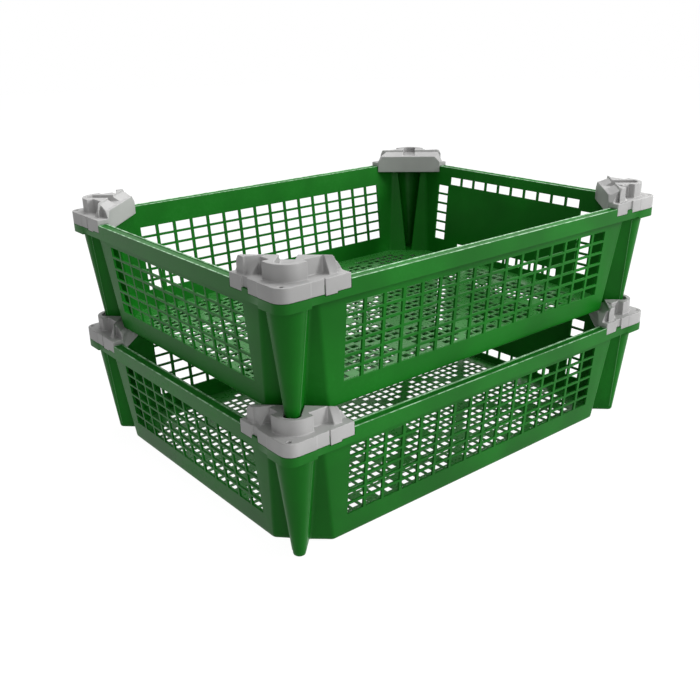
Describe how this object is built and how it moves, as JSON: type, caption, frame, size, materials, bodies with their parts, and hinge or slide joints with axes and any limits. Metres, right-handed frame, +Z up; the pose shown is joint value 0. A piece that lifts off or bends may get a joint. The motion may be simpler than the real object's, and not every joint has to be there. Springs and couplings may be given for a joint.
{
  "type": "stacking crate",
  "caption": "Green open-mesh storage crates stacked on each other, each with solid folded corners, hollow tapered legs and light grey clip-on corner caps that take the feet above.",
  "frame": {"origin": "on the floor, under the middle of the stack", "axes": "+X along the crate's length, towards the end wall with the blank label panel; +Y across its width; +Z up"},
  "size_m": [0.6, 0.47, 0.324],
  "materials": {
    "crate_plastic": "semi-gloss moulded polyethylene, dark green",
    "cap_plastic": "satin moulded polypropylene, light warm grey"
  },
  "bodies": {
    "lower_crate": {"lower_crate": "crate_plastic", "lower_cap_front_left": "cap_plastic", "lower_cap_front_right": "cap_plastic", "lower_cap_back_right": "cap_plastic", "lower_cap_back_left": "cap_plastic"},
    "upper_crate": {"upper_crate": "crate_plastic"},
    "upper_cap_front_left": {"upper_cap_front_left": "cap_plastic"},
    "upper_cap_front_right": {"upper_cap_front_right": "cap_plastic"},
    "upper_cap_back_right": {"upper_cap_back_right": "cap_plastic"},
    "upper_cap_back_left": {"upper_cap_back_left": "cap_plastic"}
  },
  "joints": [
    {"name": "upper_crate_lift", "type": "slide", "parent": "lower_crate", "child": "upper_crate", "axis": [0, 0, 1], "range_m": [0, 0.25]},
    {"name": "upper_cap_front_left_unclip", "type": "slide", "parent": "upper_crate", "child": "upper_cap_front_left", "axis": [0, 0, 1], "range_m": [0, 0.05]},
    {"name": "upper_cap_front_right_unclip", "type": "slide", "parent": "upper_crate", "child": "upper_cap_front_right", "axis": [0, 0, 1], "range_m": [0, 0.05]},
    {"name": "upper_cap_back_right_unclip", "type": "slide", "parent": "upper_crate", "child": "upper_cap_back_right", "axis": [0, 0, 1], "range_m": [0, 0.05]},
    {"name": "upper_cap_back_left_unclip", "type": "slide", "parent": "upper_crate", "child": "upper_cap_back_left", "axis": [0, 0, 1], "range_m": [0, 0.05]}
  ]
}
